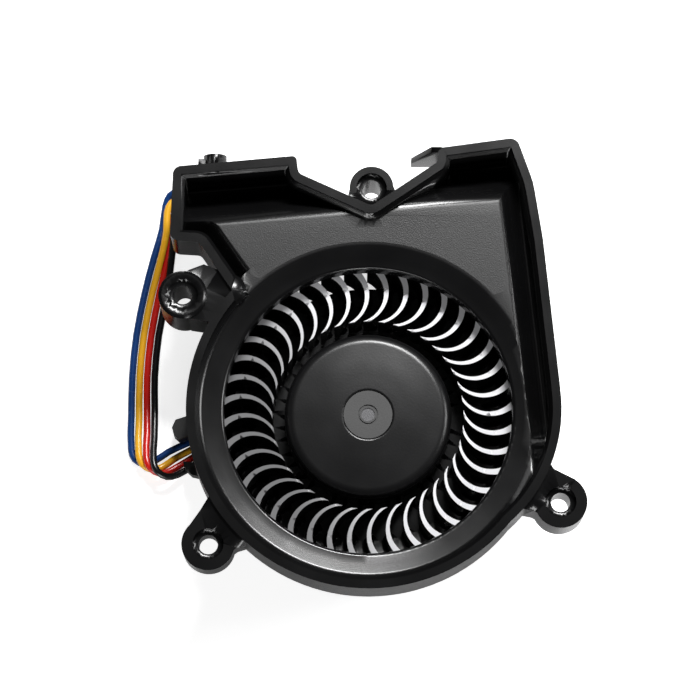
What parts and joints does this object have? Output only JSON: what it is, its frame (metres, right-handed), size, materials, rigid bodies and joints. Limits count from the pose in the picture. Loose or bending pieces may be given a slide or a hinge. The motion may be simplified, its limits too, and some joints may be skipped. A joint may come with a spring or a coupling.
{
  "type": "dc blower fan",
  "caption": "Flat centrifugal blower: round inlet over a forward-curved impeller, outlet duct at one edge, screw ears, and coloured leads to a small plug.",
  "frame": {"origin": "middle of the housing's footprint, on the plane its back rests on", "axes": "+Z from the back towards the inlet, along the rotor's axis; +Y towards the outlet; the leads leave towards -X"},
  "size_m": [0.1024, 0.101, 0.028],
  "materials": {
    "cover_plastic": "fine moulded texture, satin walls",
    "casing_plastic": "satin moulded",
    "impeller_plastic": "satin moulded",
    "disc_plastic": "satin",
    "brass": "turned",
    "bearing_steel": "ground",
    "shaft_steel": "ground",
    "yoke_steel": "drawn",
    "lamination": "stamped",
    "magnet": "bonded ferrite",
    "insulator": "moulded",
    "winding": "enamelled copper wire",
    "contact": "tin over brass",
    "board": "solder mask",
    "chip": "moulded package",
    "ceramic": "ceramic",
    "solder": "solder",
    "cap_film": "satin",
    "washer": "polymer",
    "clip": "blackened spring steel",
    "blue_insulation": "extruded",
    "yellow_insulation": "extruded",
    "red_insulation": "extruded",
    "black_insulation": "extruded",
    "plug_plastic": "natural nylon"
  },
  "bodies": {
    "housing": {"front_cover": "cover_plastic", "rear_casing": "casing_plastic", "bearing_tube": "brass", "lower_bearing": "bearing_steel", "upper_bearing": "bearing_steel", "preload_spring": "bearing_steel", "stator_core": "lamination", "upper_insulator": "insulator", "lower_insulator": "insulator", "coil_windings": "winding", "terminal_pins": "contact", "circuit_board": "board", "driver_chip": "chip", "hall_sensor": "chip", "filter_capacitor": "ceramic", "solder_joints": "solder", "back_cap": "cap_film", "lead_blue": "blue_insulation", "lead_yellow": "yellow_insulation", "lead_red": "red_insulation", "lead_black": "black_insulation", "plug_housing": "plug_plastic", "plug_contacts": "contact"},
    "rotor": {"impeller": "impeller_plastic", "rotor_yoke": "yoke_steel", "magnet_ring": "magnet", "shaft": "shaft_steel", "hub_bushing": "brass", "hub_disc": "disc_plastic", "thrust_washer": "washer", "retaining_clip": "clip"}
  },
  "joints": [
    {"name": "rotor_spin", "type": "hinge", "parent": "housing", "child": "rotor", "pos_m": [-0.0007, -0.01055, 0.012], "axis": [0, 0, 1], "continuous": true}
  ]
}
